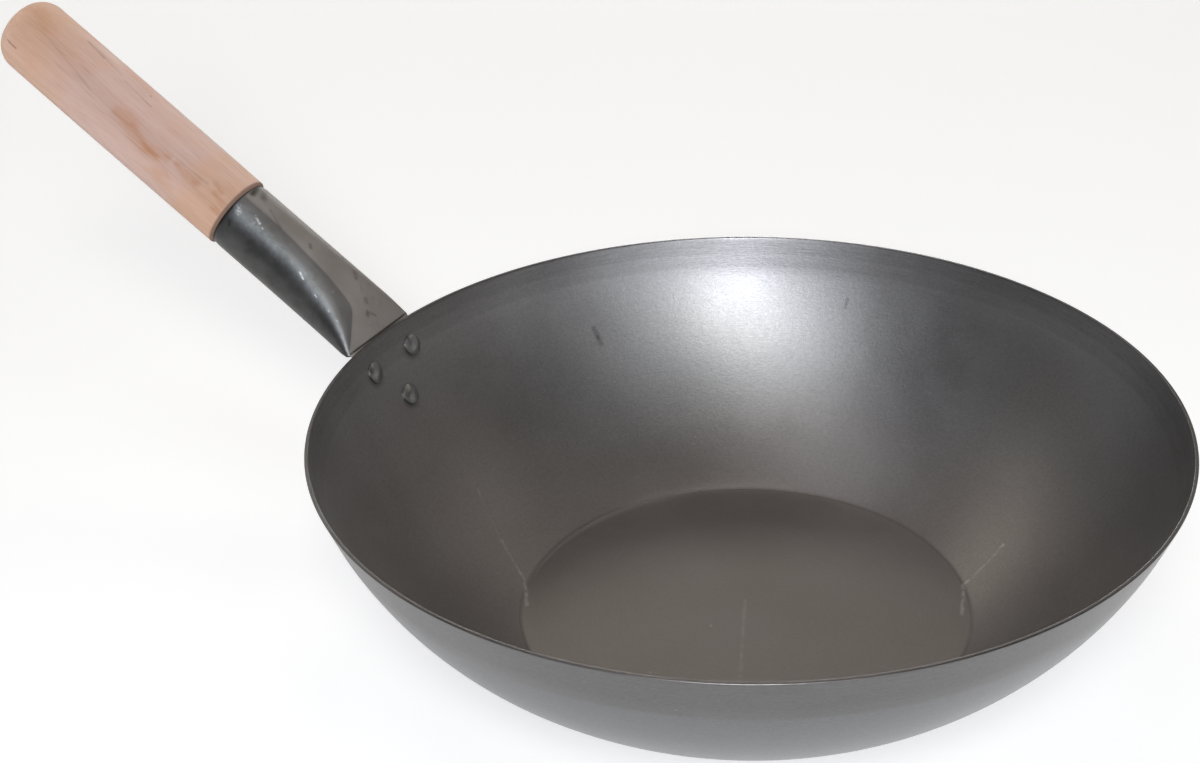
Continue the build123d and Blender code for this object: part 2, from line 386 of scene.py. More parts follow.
# Where the finish, the painted shade and the painted reflection tint change,
# as the start and the end of each change.
band_edge_inside = (76.4 * mm, 78.6 * mm)
lip_edge = (82.2 * mm, 84.2 * mm)
band_edge_outside = (67 * mm, 70.5 * mm)
lined_from = (76 * mm, 86 * mm)
trimmed_from = (89.4 * mm, 89.8 * mm)
corner_start, corner_end = (92.3 * mm, 92.9 * mm), (93.8 * mm, 94.6 * mm)
wall_from = (85 * mm, 100 * mm)
highlight_tint_towards_back = (20 * mm, 120 * mm)
highlight_tint_up_wall = (10 * mm, 40 * mm)
outside_painted_lighter_below = 55 * mm
brushing_turn = math.radians(26)    # the brushing leans this far off a circle
flat_tangent = (0.7, 0.7, 0)        # square to the brushing on the flat base
slant_share = 0.8                   # the lines follow the wall's slant this closely
long_lines, short_lines = (9, 1500), (70, 1300)     # noise round the axis, and across it
line_depth = pit_depth = 0.2 * mm
grain_depth = 0.3 * mm

bowl_steel, tree = new_material("bowl_steel")
coords = node(tree, "TexCoord").outputs
place = coords["Object"]
across, along, height = node(tree, "SeparateXYZ", {"Vector": place}).outputs
facing_up = node(tree, "SeparateXYZ", {"Vector": coords["Normal"]}).outputs["Z"]
inside = spread(tree, facing_up, -0.1, 0.1)
level_place = joined(tree, across, along)
radius = node(tree, "VectorMath", {0: level_place}, operation="LENGTH").outputs["Value"]
turn = math_of(tree, "ARCTAN2", along, across)
slant = math_of(tree, "ADD", math_of(tree, "MULTIPLY", radius, slant_share), height)
band_inside = spread(tree, height, *band_edge_inside)
at_lip = spread(tree, height, *lip_edge)
band_outside = spread(tree, height, *band_edge_outside)
near_rim = spread(tree, height, *lined_from)
trimmed = spread(tree, height, *trimmed_from)
on_wall = spread(tree, radius, *wall_from)
past_corner_start = spread(tree, radius, *corner_start)
before_corner_end = spread(tree, radius, *corner_end, 1, 0)
in_corner = math_of(tree, "MULTIPLY", past_corner_start, before_corner_end)

mottle = noise_of(tree, place, scale=16, detail=4, roughness=0.55)
cloud = noise_of(tree, place, scale=5)
grain = noise_of(tree, place, scale=1300, roughness=0.6)
coarse = noise_of(tree, place, scale=620, detail=3, roughness=0.65)
flecks = noise_of(tree, place, scale=420)
breaks = noise_of(tree, place, scale=330, roughness=0.6)
long_place, short_place = (
    joined(tree, math_of(tree, "MULTIPLY", turn, round_axis), math_of(tree, "MULTIPLY", slant, across_it))
    for round_axis, across_it in (long_lines, short_lines)
)
streaks = noise_of(tree, long_place, scale=1, detail=3, roughness=0.65)
short_streaks = noise_of(tree, short_place, scale=1, roughness=0.6)

tone = math_of(tree, "ADD", across_noise(tree, mottle, -0.5, 0.5), across_noise(tree, cloud, -0.5, 0.5))
light = spread(tree, tone, -1, 1)
# Painted reflection tint on the back of the wall, up from the base.
towards_back = spread(tree, along, *highlight_tint_towards_back)
highlight_tint_share = math_of(tree, "MULTIPLY", towards_back, spread(tree, height, *highlight_tint_up_wall))
warm_inside = blend_colours(tree, light, *steel_warm)
colour_inside = blend_colours(tree, highlight_tint_share, warm_inside, blend_colours(tree, light, *steel_highlight_tint))
colour_inside = shaded(tree, colour_inside, across_mask(tree, band_inside, 1, band_shade))
colour_inside = shaded(tree, colour_inside, across_mask(tree, at_lip, 1, lip_shade))
# Painted shade: a thin darker line in the base's rounded corner.
colour_inside = blend_colours(tree, math_of(tree, "MULTIPLY", in_corner, 0.5), colour_inside, corner_shade_colour)
# Painted reflection and shade on the outside: lighter low down, darker on the band.
colour_outside = blend_colours(
    tree,
    spread(tree, height, 0, outside_painted_lighter_below),
    blend_colours(tree, light, *steel_outside_painted_lighter_low),
    blend_colours(tree, light, *steel_outside),
)
colour_outside = blend_colours(tree, band_outside, colour_outside, band_outside_shade_colour)
colour = blend_colours(tree, inside, colour_outside, colour_inside)

fine_streaks = across_noise(tree, short_streaks, -0.05, 0.05)
speckle = math_of(tree, "ADD", fine_streaks, across_noise(tree, coarse, -0.05, 0.05))
speckle = math_of(tree, "MULTIPLY", speckle, across_mask(tree, on_wall, 0.4, 1))
lined = across_noise(tree, streaks, -0.1, 0.1)
lined = math_of(tree, "MULTIPLY", lined, across_mask(tree, near_rim, 0.3, 1))
colour = shaded(tree, colour, math_of(tree, "ADD", math_of(tree, "ADD", speckle, lined), 1))
colour = blend_colours(tree, spread(tree, flecks, 0.74, 0.8, 0, 0.35), colour, fleck_colour)
broken = spread(tree, breaks, 0.38, 0.62, 0.15, 1)
# Light scratches, and painted glints along the base's corner.
scratches_and_glints = math_of(tree, "MULTIPLY", marks_on(tree, place, scratch_and_glint_marks), broken)
colour = blend_colours(tree, scratches_and_glints, colour, scratch_and_glint_colour)
uneven = spread(tree, broken, 0.15, 1, 0.6, 1)
dark_lines = math_of(tree, "MULTIPLY", marks_on(tree, place, dark_line_marks), uneven)
colour = blend_colours(tree, dark_lines, colour, dark_line_colour)
# Painted shadow round the rivet heads.
colour = blend_colours(tree, marks_on(tree, place, rivet_painted_shadow), colour, rivet_shadow_colour)
# Painted shade: the trimmed rim's edge is darkened, which dims its reflection of the lamps.
colour = blend_colours(tree, math_of(tree, "MULTIPLY", trimmed, 0.55), colour, trimmed_edge_shade_colour)

rough = math_of(
    tree, "ADD", spread(tree, grain, 0.2, 0.8, 0.46, 0.52), across_noise(tree, mottle, -0.03, 0.03)
)
rough = math_of(tree, "SUBTRACT", rough, math_of(tree, "MULTIPLY", trimmed, 0.12))
rough = math_of(tree, "SUBTRACT", rough, across_mask(tree, inside, 0.06, 0))
ridges = math_of(tree, "MULTIPLY", streaks, across_mask(tree, near_rim, 0.25, 1))
surface = relief(tree, ridges, 0.16, line_depth)
surface = relief(tree, math_of(tree, "MULTIPLY", short_streaks, on_wall), 0.16, line_depth, surface)
surface = relief(tree, coarse, 0.18, pit_depth, surface)
surface = relief(tree, grain, 0.15, grain_depth, surface)
swirl = node(tree, "VectorRotate", {"Vector": level_place, "Angle": brushing_turn}, rotation_type="Z_AXIS")
swirl = node(tree, "VectorMath", {0: swirl.outputs[0]}, operation="NORMALIZE")
tangent = node(tree, "Mix", {"Factor": on_wall}, data_type="VECTOR")
tangent.inputs[4].default_value = flat_tangent
tree.links.new(swirl.outputs[0], tangent.inputs[5])
shader = node(
    tree,
    "BsdfPrincipled",
    {
        "Base Color": colour,
        "Metallic": 1.0,
        "Roughness": rough,
        "Anisotropic": 0.33,
        "Tangent": tangent.outputs[1],
        "Normal": surface,
        "Coat Weight": 0.22,
        "Coat Roughness": 0.3,
    },
)
output(tree, shader.outputs[0])
bowl.data.materials.append(bowl_steel)
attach(bowl, "root")
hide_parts("wok_bowl")

# The socket is one steel sheet, rolled to a tube at the grip. Towards the bowl
# it flattens and its seam opens to a wide notch underneath, and its end is
# bent down behind the rim, where it is riveted to the wall.
handle_rise = math.radians(32.6)
root_drop = 1.5 * mm            # the handle's axis passes this far below the rim
socket_length = 83 * mm
socket_sheet = 1.5 * mm
mouth_radius = 15.8 * mm
mouth_draw = 0.4 * mm           # the mouth is drawn in on the wood by this much
mouth_draw_length = 4 * mm
fold_radius = 1.9 * mm
flattening_power = 3.1
flat_share = 0.955
root_start = 1.2 * mm
root_dip = 0.9 * mm
dip_length = 15 * mm
seam_gap = 0.5 * mm
seam_length = 25 * mm
opening_flare = 1.02
wall_gap = 0.15 * mm
tab_margin = 9 * mm             # sheet around the middle of each rivet
bend_relief = 0.6 * mm
rivet_spread = 14.5 * mm
upper_rivet_drop = 11.3 * mm
lower_rivet_drop = 27.3 * mm
bend_start = 2 * mm             # along the handle from the rim
bend_end = 88 * mm              # height on the wall where the tab lies against it
bend_fullness = 0.4
tab_end_trim = 0.05 * mm
across_points, along_points, bend_points, tab_points = 97, 90, 12, 50
edge_softening = 0.25 * mm
softened_from = math.radians(50)    # only sharper bends are softened

handle_out = Vector((-math.cos(handle_rise), 0, math.sin(handle_rise)))
handle_side = Vector((0, -1, 0))
handle_up = handle_out.cross(handle_side)
handle_foot = Vector((-rim_radius, 0, bowl_height - root_drop))


def on_handle(side, up, out):
    """Point in the handle's own directions."""
    return handle_foot + handle_side * side + handle_up * up + handle_out * out


def tube_radius(station):
    """Outside radius of the socket's rounded sides at a distance from the rim."""
    share = max(0, station - root_start) / (socket_length - root_start)
    return mouth_radius - (mouth_radius - fold_radius) * (1 - share) ** flattening_power


def half_flat(station):
    """Half width of the socket's flat, from the girth that the sides give up."""
    return flat_share * math.pi / 2 * (mouth_radius - tube_radius(station)) + seam_gap / 2


def socket_point(station, girth):
    """Point of the socket's outside at a girth from its top line."""
    drawn = max(0, 1 - (socket_length - station) / mouth_draw_length)
    side_radius = tube_radius(station) - mouth_draw * drawn**2
    dip = root_dip * max(0, 1 - station / dip_length) ** 2
    half = half_flat(station)
    way = abs(girth)
    if way <= half:
        side, up = way, side_radius
    elif way <= half + math.pi * tube_radius(station):
        turn = (way - half) / tube_radius(station)
        side, up = half + side_radius * math.sin(turn), side_radius * math.cos(turn)
    else:
        side, up = 2 * half + math.pi * tube_radius(station) - way, -side_radius
    return on_handle(math.copysign(side, girth), up - dip, station)


def socket_edge(station):
    """Girth of the sheet's edge: at the seam, and then at the widening notch."""
    half, side_radius = half_flat(station), tube_radius(station)
    apex = socket_length - seam_length
    root_half = opening_flare * (half_flat(root_start) + fold_radius)
    cut = seam_gap / 2 + root_half * max(0, 1 - station / apex)
    if cut <= half:
        return 2 * half + math.pi * side_radius - cut
    if cut < half + side_radius:
        return half + side_radius * (math.pi - math.asin((cut - half) / side_radius))
    return half + side_radius * math.pi / 2


def tab_half_width(height):
    """Half width of the riveted tab at a height: round each rivet and straight between them."""
    upper = bowl_height - upper_rivet_drop
    lower = bowl_height - lower_rivet_drop
    neck = half_flat(root_start) - bend_relief
    lean = math.atan2(upper - lower, rivet_spread)
    away = np.array((math.sin(lean), -math.cos(lean))) * tab_margin
    width = 0
    if height >= upper:
        width = neck
    if abs(height - upper) < tab_margin:
        width = max(width, rivet_spread + math.sqrt(tab_margin**2 - (height - upper) ** 2))
    if height < upper + away[1]:
        share = (height - lower - away[1]) / (upper - lower)
        width = away[0] + rivet_spread * max(0, share)
    if height < lower + away[1]:
        width = math.sqrt(max(0, tab_margin**2 - (height - lower) ** 2))
    return width


def tab_point(height, side):
    """Point of the tab's face that lies against the wall."""
    wall_radius, out = wall_at(height)
    wall_radius += wall_gap * out[0]
    return Vector((-math.sqrt(wall_radius**2 - side**2), -side, height + wall_gap * out[1]))


def smooth_turn(before, start, end, after, share):
    """Point on the bend between two straight runs."""
    reach = (end - start).length * bend_fullness
    first = start + (start - before).normalized() * reach
    second = end + (end - after).normalized() * reach
    rest = 1 - share
    return start * rest**3 + first * 3 * rest**2 * share + second * 3 * rest * share**2 + end * share**3


across_shares = np.linspace(-1, 1, across_points)
socket_rows = []
for station in np.linspace(socket_length, bend_start, along_points):
    edge = socket_edge(station)
    socket_rows.append([socket_point(station, share * edge) for share in across_shares])
edge, edge_before = socket_edge(bend_start), socket_edge(bend_start + mm)
width, width_after = tab_half_width(bend_end), tab_half_width(bend_end - mm)
for bend_share in np.linspace(0, 1, bend_points)[1:-1]:
    row = []
    for share in across_shares:
        before = socket_point(bend_start + mm, share * edge_before)
        start = socket_point(bend_start, share * edge)
        end = tab_point(bend_end, share * width)
        after = tab_point(bend_end - mm, share * width_after)
        row.append(smooth_turn(before, start, end, after, bend_share))
    socket_rows.append(row)
tab_end = bowl_height - lower_rivet_drop - tab_margin
for quarter in np.linspace(0, math.pi / 2, tab_points):
    height = bend_end - (bend_end - tab_end - tab_end_trim) * math.sin(quarter)
    width = tab_half_width(height)
    socket_rows.append([tab_point(height, share * width) for share in across_shares])


def sheet_mesh(name, rows):
    """Mesh object of a grid of points."""
    count = len(rows[0])
    faces = []
    for r in range(len(rows) - 1):
        for c in range(count - 1):
            corner = r * count + c
            faces.append((corner, corner + 1, corner + count + 1, corner + count))
    mesh = bpy.data.meshes.new(name)
    mesh.from_pydata([tuple(p) for row in rows for p in row], [], faces)
    made = bpy.data.objects.new(name, mesh)
    scene.collection.objects.link(made)
    return made


def settle(piece):
    """Applies the piece's modifiers."""
    graph = bpy.context.evaluated_depsgraph_get()
    mesh = bpy.data.meshes.new_from_object(piece.evaluated_get(graph))
    piece.modifiers.clear()
    piece.data = mesh
    mesh.shade_smooth()
    mesh.set_sharp_from_angle(angle=sharp_angle)


socket = sheet_mesh("handle_socket_rolled", socket_rows)
thicken = socket.modifiers.new("sheet", "SOLIDIFY")
thicken.thickness = socket_sheet
thicken.offset = -1
thicken.use_even_offset = True
soften = socket.modifiers.new("edges", "BEVEL")
soften.width = edge_softening
soften.segments = 2
soften.limit_method = "ANGLE"
soften.angle_limit = softened_from
settle(socket)

# Marks on the socket, in the handle's own directions: across, up and out.
rust_marks = (
    ((0.8, 14.7, 47.3), (2.0, 14.7, 46.0), 1.5, 0.65),
    ((-8.2, 11.4, 26.6), (-6.6, 10.9, 24.3), 2.0, 0.55),
    ((-7.0, 10.6, 22), (-4.5, 9.4, 18.5), 1.0, 0.22),
    ((-3.7, 7.9, 15.0), (-2.9, 7.4, 13.8), 1.8, 0.5),
    ((-0.2, 5.9, 10.0), (0.6, 5.7, 9.4), 1.9, 0.7),
    ((-1.6, 5.5, 9.2), (-3.4, 4.8, 7.4), 1.1, 0.45),
    ((2, 15.5, 70), (5.4, 14.9, 61), 1.2, 0.3),
)
# Painted shadow: a dark line across the root, in the gap where the socket meets the rim.
root_gap_shade = (((-21, 1.1, 1.0), (21.5, 1.1, 1.0), 0.9, 1.0),)
mouth_stains = (
    ((-6, 14.6, 82.5), (1.5, 15.7, 80.8), 2.6, 0.9),
    ((-4, 15, 79), (-1, 15.5, 76.5), 3.0, 0.45),
    ((11.5, 10.5, 82.5), (15.5, 2.5, 82.7), 1.1, 0.7),
    ((14.4, 6.8, 79.5), (14.9, 5.4, 78.5), 1.4, 0.6),
)
bright_flecks = (
    ((8.8, 13.2, 71.6), (9.6, 12.7, 68.6), 0.9, 0.8),
    ((8.3, 13.5, 72.5), (8.5, 13.4, 71.9), 0.5, 0.8),
    ((10.2, 12.2, 66.5), (10.3, 12.1, 66.0), 0.5, 0.7),
    ((13.0, 9.7, 41.0), (13.8, 8.8, 38.2), 0.8, 0.75),
    ((15.2, 7.6, 29.7), (15.4, 7.3, 28.6), 0.5, 0.8),
    ((16.2, 6.9, 20.9), (16.3, 6.7, 20.2), 0.5, 0.6),
    ((16.9, 6.3, 15.0), (17.0, 6.2, 14.3), 0.5, 0.6),
    ((9.5, 10.9, 25.4), (9.9, 10.8, 24.7), 0.6, 0.5),
    ((10.0, 12.4, 80.6), (11.2, 11.2, 79.0), 2.2, 0.55),
)

# Colours of the socket: its top keeps a brown mill scale, its sides are darker,
# and the sides are painted darker still where they face down, as painted shade.
scaled_pair = ((0.235, 0.21, 0.19), (0.295, 0.27, 0.247))
scale_dark = (0.15, 0.12, 0.10)
rolled_pair = ((0.11, 0.116, 0.122), (0.148, 0.156, 0.166))
underside_shade_pair = ((0.066, 0.066, 0.065), (0.088, 0.088, 0.087))
mouth_colour = (0.05, 0.048, 0.045)
rust_colour = (0.085, 0.05, 0.04)
stain_colour = (0.035, 0.033, 0.025)
root_gap_shade_colour = (0.02, 0.018, 0.016)
worn_colour = (0.5, 0.52, 0.55)

# The scaled top, which narrows from the root towards the grip.
top_least_half = 6.2 * mm
top_root_half = 23.6 * mm
top_narrowing = -1.15
top_blend = 5 * mm
top_edge = (-1.2 * mm, 1.6 * mm)
past_middle_at = (-3 * mm, 2 * mm)
near_root_at = (4 * mm, 50 * mm)
at_mouth_from = (81.5 * mm, 82.8 * mm)


def along_handle(tree):
    """Place on the handle in its own directions: across, up and out along the axis."""
    seen = node(tree, "TexCoord").outputs["Object"]
    moved = vector_math(tree, "SUBTRACT", seen, handle_foot)
    ways = (handle_side, handle_up, handle_out)
    return [vector_math(tree, "DOT_PRODUCT", moved, way, "Value") for way in ways]


socket_steel, tree = new_material("socket_steel")
coords = node(tree, "TexCoord").outputs
place = coords["Object"]
side_way, up_way, out_way = along_handle(tree)
own_place = joined(tree, side_way, up_way, out_way)
mottle = noise_of(tree, place, scale=40, detail=4, roughness=0.55)
fine_mottle = noise_of(tree, place, scale=150, detail=3, roughness=0.6)
grain = noise_of(tree, place, scale=900, roughness=0.6)
breaks = noise_of(tree, place, scale=1100, roughness=0.6)
facing = vector_math(tree, "DOT_PRODUCT", coords["Normal"], handle_up, "Value")
past_middle = spread(tree, side_way, *past_middle_at, 0.3, 0)
near_root = spread(tree, out_way, *near_root_at, 0.3, 0)
allowance = math_of(tree, "ADD", past_middle, near_root)
on_top = spread(tree, math_of(tree, "ADD", facing, allowance), 0.9, 0.985)
narrowing = math_of(tree, "MULTIPLY_ADD", out_way, top_narrowing, top_root_half)
top_limit = math_of(tree, "SMOOTH_MAX", top_least_half, narrowing, top_blend)
within = spread(tree, math_of(tree, "SUBTRACT", side_way, top_limit), *top_edge, 1, 0)
on_top = math_of(tree, "MULTIPLY", on_top, within)
on_top = math_of(tree, "MAXIMUM", on_top, spread(tree, facing, 0.68, 0.96, 0, 0.5))

shaded_underside = blend_colours(tree, across_noise(tree, mottle), *underside_shade_pair)
rolled = blend_colours(tree, across_noise(tree, mottle), *rolled_pair)
# Painted shade: the rolled sides turn darker where they face down.
rolled = blend_colours(tree, spread(tree, facing, 0.25, 0.8), shaded_underside, rolled)
rolled = shaded(tree, rolled, across_noise(tree, fine_mottle, 0.86, 1.14))
scaled = blend_colours(tree, across_noise(tree, mottle), *scaled_pair)
scaled = blend_colours(tree, spread(tree, fine_mottle, 0.55, 0.8, 0, 0.35), scaled, scale_dark)
colour = blend_colours(tree, on_top, rolled, scaled)
at_mouth = spread(tree, out_way, *at_mouth_from, 0, 0.6)
colour = blend_colours(tree, at_mouth, colour, mouth_colour)
broken = spread(tree, breaks, 0.35, 0.6, 0.2, 1)
rust = math_of(tree, "MULTIPLY", marks_on(tree, own_place, rust_marks), across_mask(tree, broken, 0.6, 1))
colour = blend_colours(tree, rust, colour, rust_colour)
colour = blend_colours(tree, marks_on(tree, own_place, mouth_stains), colour, stain_colour)
# Painted shadow in the gap at the root.
colour = blend_colours(tree, marks_on(tree, own_place, root_gap_shade), colour, root_gap_shade_colour)
worn = math_of(tree, "MULTIPLY", marks_on(tree, own_place, bright_flecks), broken)
colour = blend_colours(tree, worn, colour, worn_colour)
rough = math_of(
    tree, "ADD", across_noise(tree, mottle, 0.41, 0.48), spread(tree, grain, 0.2, 0.8, -0.03, 0.03)
)
rough = math_of(tree, "ADD", rough, math_of(tree, "MULTIPLY", on_top, 0.1))
surface = relief(tree, grain, 0.1, 0.3 * mm)
surface = relief(tree, fine_mottle, 0.2, 0.6 * mm, surface)
shader = node(
    tree,
    "BsdfPrincipled",
    {
        "Base Color": colour,
        "Metallic": across_mask(tree, on_top, 1, 0.3),
        "Roughness": rough,
        "Normal": surface,
    },
)
output(tree, shader.outputs[0])
socket.data.materials.append(socket_steel)
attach(socket, "root")
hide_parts("handle_socket")

# Three steel rivets hold the socket: a low head inside the bowl, a shank
# through both sheets, and a tail hammered over on the outside.
shank_radius = 2.5 * mm
head_radius = 4.5 * mm
head_height = 1.5 * mm
tail_radius = 3.9 * mm
tail_height = 1.9 * mm
rivet_seat_gap = 0.08 * mm
head_edge_share = 0.35
dome_points = 16
rivet_segments = 64
rivet_pair = ((0.31, 0.305, 0.30), (0.41, 0.405, 0.40))


def dome_outline(radius, height, edge_share):
    """Half outline of a low dome: an upright edge and then a ball's cap."""
    cap = height * (1 - edge_share)
    ball = (radius**2 + cap**2) / (2 * cap)
    lowest = math.degrees(math.asin((ball - cap) / ball))
    return [(radius, 0)] + arc((0, height - ball), ball, lowest, 90, dome_points)


def rivet_frame(side, drop):
    """Where a rivet goes through the wall, with Z square out of it."""
    height = bowl_height - drop
    wall_radius, out = wall_at(height)
    turn = math.asin(side / wall_radius)
    outwards = Vector((-math.cos(turn) * out[0], -math.sin(turn) * out[0], out[1]))
    level = Vector((0, 0, 1)).cross(outwards).normalized()
    axes = Matrix((outwards.cross(level), -level, outwards)).transposed()
    place = Vector((-math.cos(turn) * wall_radius, -math.sin(turn) * wall_radius, height))
    return Matrix.Translation(place) @ axes.to_4x4()


rivet_steel, tree = new_material("rivet_steel")
place = node(tree, "TexCoord").outputs["Object"]
mottle = noise_of(tree, place, scale=260, detail=3, roughness=0.55)
shader = node(
    tree,
    "BsdfPrincipled",
    {
        "Base Color": blend_colours(tree, across_noise(tree, mottle), *rivet_pair),
        "Metallic": 1.0,
        "Roughness": across_noise(tree, mottle, 0.33, 0.44),
        "Normal": relief(tree, mottle, 0.25, 0.4 * mm),
    },
)
output(tree, shader.outputs[0])

head_floor = -bowl_sheet - rivet_seat_gap
tail_floor = wall_gap + socket_sheet + rivet_seat_gap
head = [(r, head_floor - h) for r, h in dome_outline(head_radius, head_height, head_edge_share)][::-1]
tail = [(r, tail_floor + h) for r, h in dome_outline(tail_radius, tail_height, head_edge_share)]
rivet_outline = head + [(shank_radius, head_floor), (shank_radius, tail_floor)] + tail
for name, side, drop in (
    ("rivet_left", -rivet_spread, upper_rivet_drop),
    ("rivet_right", rivet_spread, upper_rivet_drop),
    ("rivet_lower", 0, lower_rivet_drop),
):
    rivet = turned(name + "_closed", rivet_outline, rivet_segments)
    rivet.data.transform(rivet_frame(side, drop))
    rivet.data.materials.append(rivet_steel)
    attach(rivet, "root")
    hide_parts(name)

# The grip is turned from one piece of bare wood: a tapered tenon driven into
# the socket, a softened shoulder, a slightly swelling body and a round end.
grip_length = 134.4 * mm
shoulder_radius = 16.8 * mm
belly_radius = 17.0 * mm
tip_radius = 16.9 * mm
shoulder_rounding = 1.4 * mm
tip_rounding = 11 * mm
tip_turn = 78                   # degrees of the tip's rounding, before its crown
tip_crown = 1.6 * mm
crown_fullness = 0.55
tenon_length = 40 * mm
tenon_clearance = 0.15 * mm
shoulder_gap = 0.1 * mm
grip_segments = 128
tenon_points, shoulder_points, body_points, tip_points, crown_points = 4, 8, 40, 14, 12

tenon_end = socket_length - tenon_length
shoulder = socket_length + shoulder_gap
body_start = shoulder + shoulder_rounding
grip_end = socket_length + grip_length
body_end = grip_end - tip_crown - tip_rounding
tenon_end_radius = tube_radius(tenon_end) - socket_sheet - tenon_clearance
tenon_root_radius = mouth_radius - mouth_draw - socket_sheet - tenon_clearance
grip_outline = [(share * tenon_end_radius, tenon_end) for share in np.linspace(0, 1, tenon_points)]
grip_outline += [(tenon_root_radius, socket_length), (tenon_root_radius, shoulder)]
grip_outline += arc(
    (shoulder_radius - shoulder_rounding, body_start), shoulder_rounding, -90, 0, shoulder_points
)
for share in np.linspace(0, 1, body_points)[1:]:
    swell = shoulder_radius + (tip_radius - shoulder_radius) * share
    swell += (belly_radius - (shoulder_radius + tip_radius) / 2) * 4 * share * (1 - share)
    grip_outline.append((swell, body_start + (body_end - body_start) * share))
grip_outline += arc((tip_radius - tip_rounding, body_end), tip_rounding, 0, tip_turn, tip_points)[1:]
crown_edge, crown_middle = np.array(grip_outline[-1]), np.array((0, grip_end))
crown_run = (grip_end - crown_edge[1]) / math.tan(math.radians(90 - tip_turn))
knee = np.array((crown_edge[0] - crown_run * crown_fullness, grip_end))
crown_shares = np.linspace(0, 1, crown_points)[1:]
grip_outline += [tuple(curve(crown_edge, knee, crown_middle, share)) for share in crown_shares]
grip = turned("wood_grip_turned", grip_outline, grip_segments)
grip_axes = Matrix((handle_side, handle_up, handle_out)).transposed()
grip.data.transform(Matrix.Translation(handle_foot) @ grip_axes.to_4x4())

# Marks in the wood, in the handle's own directions: across, up and out.
grain_lines = (
    ((10.6, 13.3, 206.3), (10.0, 13.8, 196.2), 0.8, 0.2),
    ((10.0, 13.8, 196.2), (11.2, 12.8, 183.4), 0.9, 0.32),
    ((11.2, 12.8, 183.4), (13.6, 10.2, 163.3), 0.9, 0.28),
    ((13.6, 10.2, 163.3), (14.2, 9.4, 141.0), 0.8, 0.2),
    ((-1.9, 16.9, 181.4), (-0.6, 17.0, 171.3), 1.5, 0.38),
    ((-0.6, 17.0, 171.3), (0.6, 17.0, 160.0), 0.7, 0.3),
    ((2.0, 16.9, 156.5), (3.2, 16.7, 139.8), 0.7, 0.4),
    ((-1.6, 16.9, 144.3), (-1.5, 16.9, 143.9), 0.8, 0.8),
    ((12.2, 11.8, 112), (11.7, 12.3, 97), 0.8, 0.35),
)
tip_line = (((16.4, 2.9, 208.6), (16.8, 2.7, 202.6), 0.7, 0.85),)
warm_stains = (
    ((13.3, 10.6, 148.5), (14.2, 9.3, 139.4), 4.0, 0.6),
    ((14.2, 9.3, 139.4), (15.4, 7.1, 128.0), 5.0, 0.85),
    ((15.4, 7.1, 128.0), (15.1, 7.8, 122.6), 4.0, 0.95),
    ((14.6, 8.6, 128.0), (13.6, 10.2, 118), 3.4, 0.6),
    ((13.3, 10.6, 112.9), (13.8, 10.0, 107.2), 3.2, 0.75),
    ((13.8, 10.0, 107.2), (13.8, 10.0, 101.1), 3.6, 0.85),
    ((9.8, 13.9, 94.8), (11.0, 13.0, 89.7), 2.0, 0.65),
    ((15.5, 6.9, 89), (15.6, 6.8, 85.5), 2.2, 0.8),
    ((12.6, 11.4, 92), (13.5, 10.3, 86), 2.2, 0.5),
    ((7, 15.4, 200), (9, 14.4, 170), 5.0, 0.25),
)

# Colours of the wood: pale at mid length, warmer towards both ends, with painted
# shade on the shoulder where the wood meets the socket.
pale_pair = ((0.56, 0.392, 0.332), (0.61, 0.442, 0.382))
warm_pair = ((0.555, 0.358, 0.25), (0.605, 0.405, 0.30))
fibre_colour = (0.33, 0.19, 0.13)
soft_stain_colour = (0.52, 0.28, 0.165)
warm_stain_colour = (0.46, 0.225, 0.115)
line_colour = (0.25, 0.135, 0.08)
shoulder_shade_colour = (0.10, 0.055, 0.04)
palest_at = 137 * mm
warmer_from = (15 * mm, 50 * mm)
shoulder_shade_span = (83.8 * mm, 85 * mm)
fibre_stretch, stain_stretch = 0.06, 0.3

grip_wood, tree = new_material("grip_wood")
side_way, up_way, out_way = along_handle(tree)
own_place = joined(tree, side_way, up_way, out_way)
fibre_place = joined(tree, side_way, up_way, math_of(tree, "MULTIPLY", out_way, fibre_stretch))
stain_place = joined(tree, side_way, up_way, math_of(tree, "MULTIPLY", out_way, stain_stretch))
fibre = noise_of(tree, fibre_place, scale=1300, detail=3, roughness=0.6)
bands = noise_of(tree, fibre_place, scale=210, detail=3)
stains = noise_of(tree, stain_place, scale=75, detail=3, roughness=0.6)
fading = noise_of(tree, stain_place, scale=210, detail=3, roughness=0.6)
patches = noise_of(tree, own_place, scale=28)
from_palest = math_of(tree, "ABSOLUTE", math_of(tree, "SUBTRACT", out_way, palest_at))
warmth = math_of(
    tree, "ADD", spread(tree, from_palest, *warmer_from), spread(tree, patches, 0.35, 0.65, -0.45, 0.45)
)
pale = blend_colours(tree, across_noise(tree, bands), *pale_pair)
warm = blend_colours(tree, across_noise(tree, bands), *warm_pair)
colour = blend_colours(tree, spread(tree, warmth, 0, 1), pale, warm)
colour = blend_colours(tree, spread(tree, fibre, 0.45, 0.75, 0, 0.22), colour, fibre_colour)
broken = math_of(
    tree, "MULTIPLY", spread(tree, fibre, 0.25, 0.6, 0.35, 1), spread(tree, fading, 0.38, 0.6, 0.45, 1)
)
warm_marks = math_of(tree, "MULTIPLY", marks_on(tree, own_place, warm_stains), broken)
lines = math_of(tree, "MULTIPLY", marks_on(tree, own_place, grain_lines), broken)
lines = math_of(tree, "MAXIMUM", lines, marks_on(tree, own_place, tip_line))
colour = blend_colours(tree, spread(tree, stains, 0.55, 0.74, 0, 0.5), colour, soft_stain_colour)
colour = blend_colours(tree, warm_marks, colour, warm_stain_colour)
colour = blend_colours(tree, lines, colour, line_colour)
